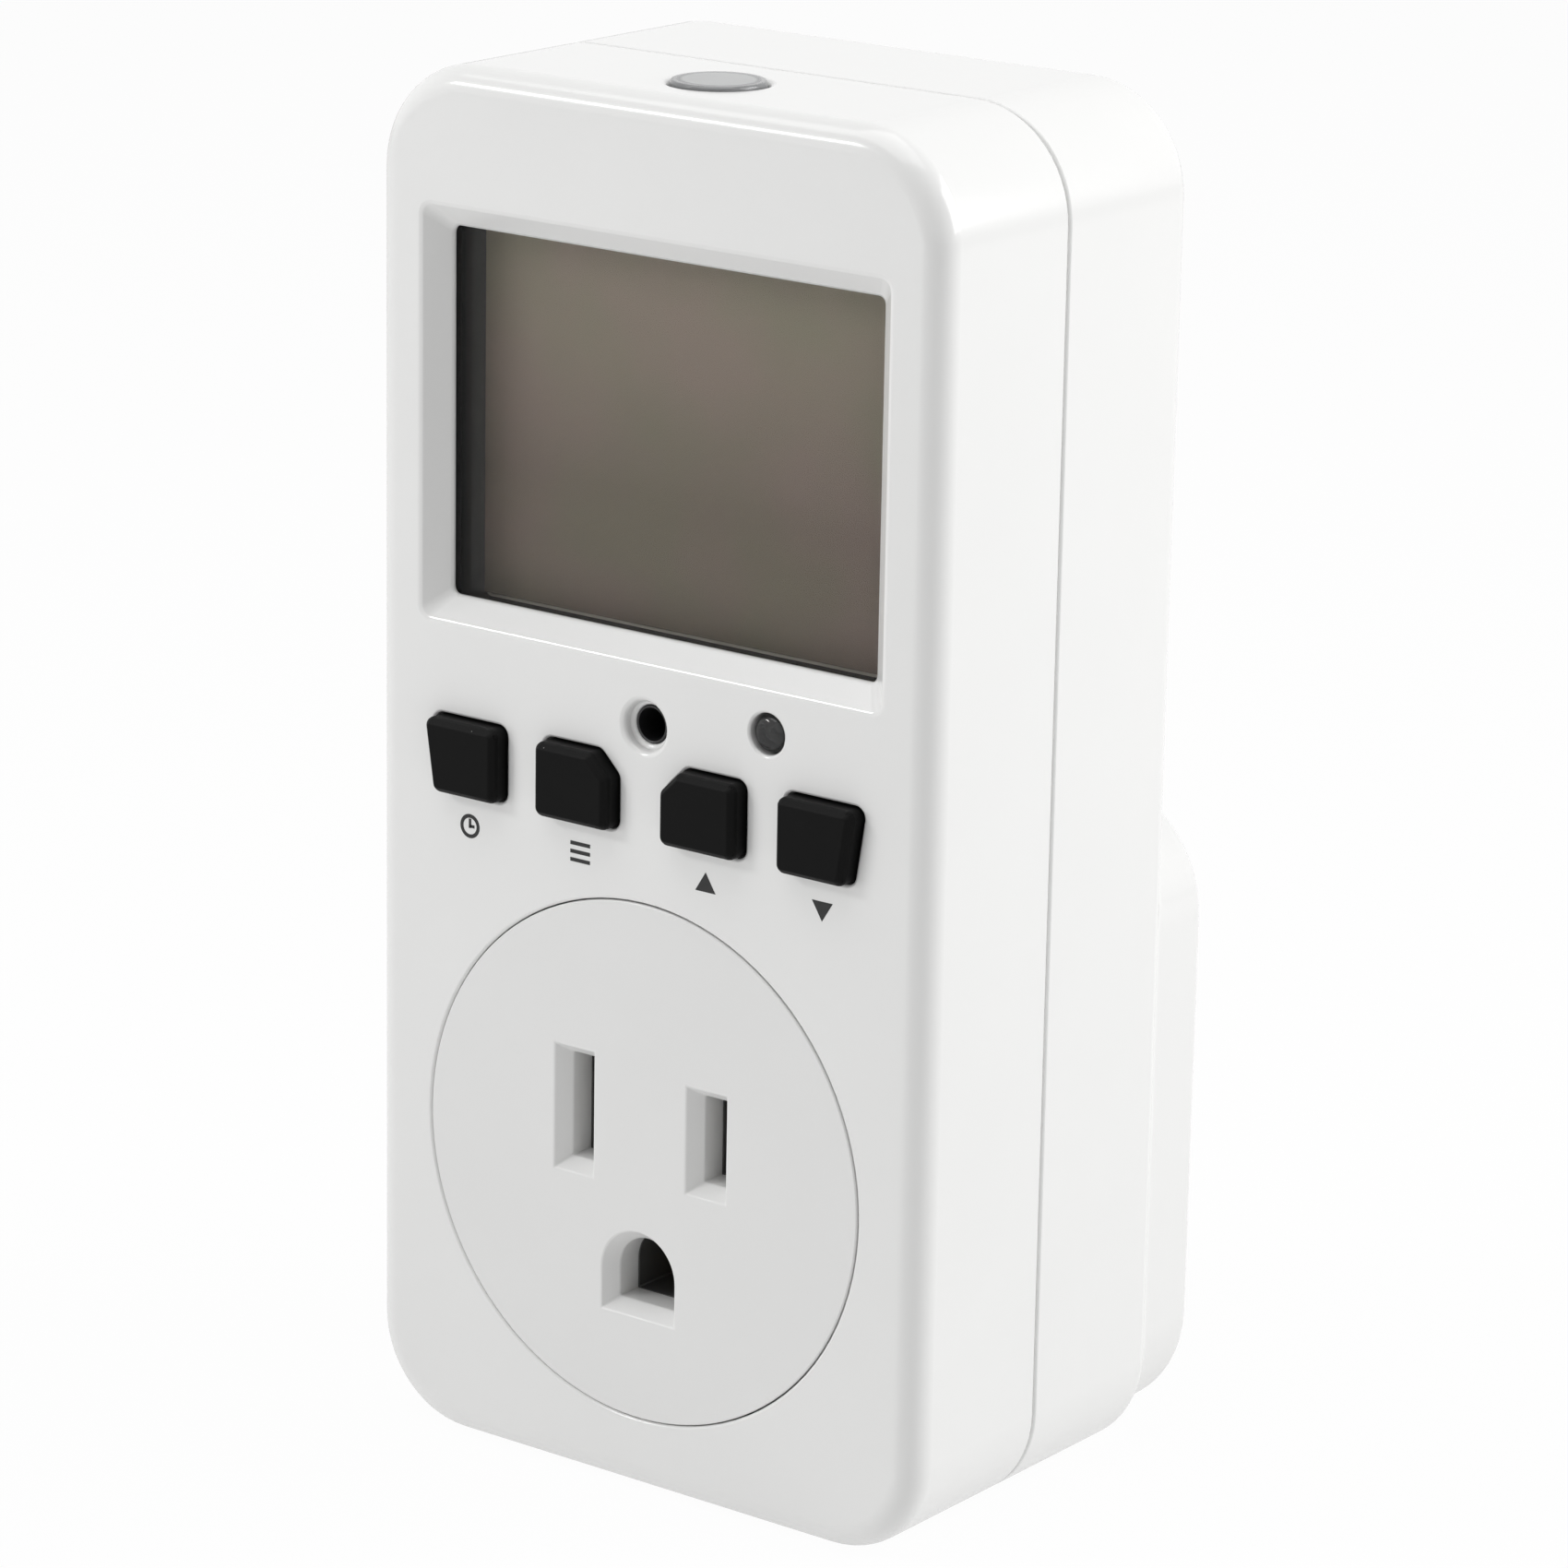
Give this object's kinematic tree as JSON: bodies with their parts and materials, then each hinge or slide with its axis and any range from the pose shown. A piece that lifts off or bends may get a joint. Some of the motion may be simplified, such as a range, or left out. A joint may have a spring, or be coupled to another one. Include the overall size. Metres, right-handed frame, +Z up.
{
  "type": "plug-in timer switch",
  "caption": "Plug-in digital timer switch: white moulded case with a display, rubber keys, a grounded outlet on the front and a grounded plug on the back.",
  "frame": {"origin": "middle of the plug face, between the two flat blades", "axes": "+Y into the wall along the blades, +Z up, +X to the right as seen from the front"},
  "size_m": [0.0524, 0.058, 0.1079],
  "materials": {
    "white_abs": "satin-gloss injection moulded ABS, white",
    "insert_pc": "satin-gloss moulded polycarbonate, white",
    "clear_acrylic": "clear moulded acrylic",
    "frosted_acrylic": "frosted translucent acrylic",
    "clear_epoxy": "clear cast epoxy",
    "lcd_glass": "unlit reflective liquid crystal glass, brownish grey",
    "black_foam": "black closed-cell foam",
    "black_silicone": "matte black moulded silicone",
    "carbon": "carbon-filled silicone",
    "zebra_silicone": "striped conductive silicone",
    "black_plastic": "matte black moulded nylon or PBT",
    "green_board": "green solder mask over glass-epoxy board",
    "tan_board": "paper-phenolic board",
    "natural_pbt": "unpigmented off-white moulded PBT",
    "brass_sheet": "stamped brass",
    "nickel_brass": "nickel-plated brass",
    "zinc_steel": "zinc-plated steel",
    "copper_wire": "enamelled copper winding",
    "iron_plate": "plated soft iron",
    "blue_epoxy": "blue dipped epoxy",
    "yellow_pbt": "yellow film-capacitor box",
    "black_sleeve": "shrunk sleeve over an aluminium can"
  },
  "bodies": {
    "case": {"backup_cell": "nickel_brass", "battery_clip": "iron_plate", "board_link": "black_plastic", "board_screws": "zinc_steel", "carrier_screws": "zinc_steel", "case_screws": "zinc_steel", "clock_crystal": "iron_plate", "contact_carrier": "black_plastic", "control_board": "green_board", "controller_chip": "black_plastic", "film_capacitor": "yellow_pbt", "filter_capacitor": "black_sleeve", "front_shell": "white_abs", "fuse": "black_plastic", "ground_contact": "brass_sheet", "ground_pin": "nickel_brass", "ground_strap": "brass_sheet", "keypad_mat": "black_silicone", "lcd_gasket": "black_foam", "lcd_holder": "black_plastic", "lcd_panel": "lcd_glass", "lcd_window": "clear_acrylic", "line_blade": "nickel_brass", "line_contact": "brass_sheet", "line_in_strap": "brass_sheet", "line_out_strap": "brass_sheet", "neutral_blade": "nickel_brass", "neutral_contact": "brass_sheet", "neutral_strap": "brass_sheet", "night_light_led": "clear_epoxy", "night_light_lens": "frosted_acrylic", "plug_block": "natural_pbt", "plug_block_screws": "zinc_steel", "power_board": "tan_board", "power_board_screws": "zinc_steel", "probe_jack": "black_plastic", "rear_shell": "white_abs", "rectifier": "black_plastic", "relay_base": "black_plastic", "relay_bobbin": "natural_pbt", "relay_coil": "copper_wire", "relay_cover": "black_plastic", "relay_fixed_contact": "brass_sheet", "relay_yoke": "iron_plate", "socket_insert": "insert_pc", "status_led": "clear_epoxy", "surge_varistor": "blue_epoxy", "zebra_strips": "zebra_silicone"},
    "set_key": {"key_set": "black_silicone", "pill_set": "carbon"},
    "function_key": {"key_function": "black_silicone", "pill_function": "carbon"},
    "up_key": {"key_up": "black_silicone", "pill_up": "carbon"},
    "down_key": {"key_down": "black_silicone", "pill_down": "carbon"},
    "armature": {"relay_armature": "iron_plate", "relay_spring": "brass_sheet"}
  },
  "joints": [
    {"name": "set_press", "type": "slide", "parent": "case", "child": "set_key", "axis": [0, 1, 0], "range_m": [0, 0.0009], "stiffness_N_per_m": 900},
    {"name": "function_press", "type": "slide", "parent": "case", "child": "function_key", "axis": [0, 1, 0], "range_m": [0, 0.0009], "stiffness_N_per_m": 900},
    {"name": "up_press", "type": "slide", "parent": "case", "child": "up_key", "axis": [0, 1, 0], "range_m": [0, 0.0009], "stiffness_N_per_m": 900},
    {"name": "down_press", "type": "slide", "parent": "case", "child": "down_key", "axis": [0, 1, 0], "range_m": [0, 0.0009], "stiffness_N_per_m": 900},
    {"name": "armature_rock", "type": "hinge", "parent": "case", "child": "armature", "pos_m": [-0.0142, -0.0211, 0.0384], "axis": [0, 0, 1], "range_deg": [0, 2.2], "stiffness_Nm_per_rad": 0.02}
  ]
}
